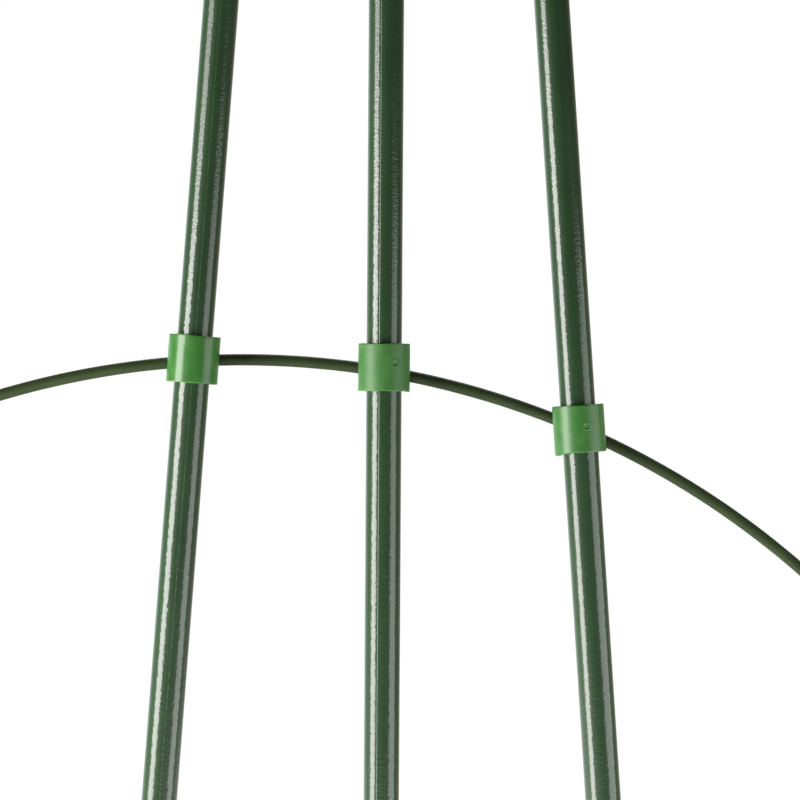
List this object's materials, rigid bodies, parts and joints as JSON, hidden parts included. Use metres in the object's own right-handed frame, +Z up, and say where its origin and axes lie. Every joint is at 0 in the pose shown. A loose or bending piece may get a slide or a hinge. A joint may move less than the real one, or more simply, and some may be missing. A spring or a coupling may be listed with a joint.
{
  "type": "garden trellis arch",
  "caption": "Flat garden trellis: coated steel stakes leaning into a top connector, nested round-topped wire arches behind, held by sliding clips.",
  "frame": {"origin": "point of the middle stake", "axes": "+X across the trellis to the right seen from the front, +Y from front to back, where the wires are, +Z up the middle stake"},
  "size_m": [0.7758, 0.0192, 1.2036],
  "materials": {
    "stake_plastic": "glossy dark green PE skin, extruded",
    "clip_plastic": "semi-gloss mid green moulded PP",
    "wire_coat": "satin dark olive green PVC",
    "steel": "bright drawn low-carbon steel, hidden",
    "cap_plastic": "satin green moulded plastic"
  },
  "bodies": {
    "stakes": {"top_connector": "cap_plastic", "stake_left_sheath": "stake_plastic", "stake_left_tube": "steel", "stake_left_foot": "cap_plastic", "stake_middle_sheath": "stake_plastic", "stake_middle_tube": "steel", "stake_middle_foot": "cap_plastic", "stake_right_sheath": "stake_plastic", "stake_right_tube": "steel", "stake_right_foot": "cap_plastic"},
    "inner_arch": {"arch_inner_coating": "wire_coat", "arch_inner_core": "steel", "arch_inner_left_cap": "cap_plastic", "arch_inner_right_cap": "cap_plastic"},
    "middle_arch": {"arch_middle_coating": "wire_coat", "arch_middle_core": "steel", "arch_middle_left_cap": "cap_plastic", "arch_middle_right_cap": "cap_plastic"},
    "outer_arch": {"arch_outer_coating": "wire_coat", "arch_outer_core": "steel", "arch_outer_left_cap": "cap_plastic", "arch_outer_right_cap": "cap_plastic"},
    "inner_left_clip": {"clip_inner_left": "clip_plastic"},
    "inner_middle_clip": {"clip_inner_middle": "clip_plastic"},
    "inner_right_clip": {"clip_inner_right": "clip_plastic"},
    "middle_left_clip": {"clip_middle_left": "clip_plastic"},
    "middle_middle_clip": {"clip_middle_middle": "clip_plastic"},
    "middle_right_clip": {"clip_middle_right": "clip_plastic"},
    "outer_left_clip": {"clip_outer_left": "clip_plastic"},
    "outer_middle_clip": {"clip_outer_middle": "clip_plastic"},
    "outer_right_clip": {"clip_outer_right": "clip_plastic"}
  },
  "joints": [
    {"name": "inner_arch_slide", "type": "slide", "parent": "stakes", "child": "inner_arch", "axis": [0, 0, 1], "range_m": [0, 0.08]},
    {"name": "middle_arch_slide", "type": "slide", "parent": "stakes", "child": "middle_arch", "axis": [0, 0, 1], "range_m": [0, 0.08]},
    {"name": "outer_arch_slide", "type": "slide", "parent": "stakes", "child": "outer_arch", "axis": [0, 0, 1], "range_m": [0, 0.08]},
    {"name": "inner_left_clip_slide", "type": "slide", "parent": "stakes", "child": "inner_left_clip", "axis": [0.0708, 0, 0.9975], "range_m": [0, 0.08062]},
    {"name": "inner_middle_clip_slide", "type": "slide", "parent": "stakes", "child": "inner_middle_clip", "axis": [0, 0, 1], "range_m": [0, 0.0801]},
    {"name": "inner_right_clip_slide", "type": "slide", "parent": "stakes", "child": "inner_right_clip", "axis": [-0.0708, 0, 0.9975], "range_m": [0, 0.08272]},
    {"name": "middle_left_clip_slide", "type": "slide", "parent": "stakes", "child": "middle_left_clip", "axis": [0.0708, 0, 0.9975], "range_m": [0, 0.08031]},
    {"name": "middle_middle_clip_slide", "type": "slide", "parent": "stakes", "child": "middle_middle_clip", "axis": [0, 0, 1], "range_m": [0, 0.0801]},
    {"name": "middle_right_clip_slide", "type": "slide", "parent": "stakes", "child": "middle_right_clip", "axis": [-0.0708, 0, 0.9975], "range_m": [0, 0.0819]},
    {"name": "outer_left_clip_slide", "type": "slide", "parent": "stakes", "child": "outer_left_clip", "axis": [0.0708, 0, 0.9975], "range_m": [0, 0.0801]},
    {"name": "outer_middle_clip_slide", "type": "slide", "parent": "stakes", "child": "outer_middle_clip", "axis": [0, 0, 1], "range_m": [0, 0.0801]},
    {"name": "outer_right_clip_slide", "type": "slide", "parent": "stakes", "child": "outer_right_clip", "axis": [-0.0708, 0, 0.9975], "range_m": [0, 0.08139]}
  ],
  "couplings": [
    {"joint": "inner_left_clip_slide", "follows": "inner_arch_slide", "ratio": 1.0065},
    {"joint": "inner_middle_clip_slide", "follows": "inner_arch_slide", "ratio": 1},
    {"joint": "inner_right_clip_slide", "follows": "inner_arch_slide", "ratio": 1.0327},
    {"joint": "middle_left_clip_slide", "follows": "middle_arch_slide", "ratio": 1.0026},
    {"joint": "middle_middle_clip_slide", "follows": "middle_arch_slide", "ratio": 1},
    {"joint": "middle_right_clip_slide", "follows": "middle_arch_slide", "ratio": 1.0225},
    {"joint": "outer_left_clip_slide", "follows": "outer_arch_slide", "ratio": 0.99996},
    {"joint": "outer_middle_clip_slide", "follows": "outer_arch_slide", "ratio": 1},
    {"joint": "outer_right_clip_slide", "follows": "outer_arch_slide", "ratio": 1.0162}
  ]
}
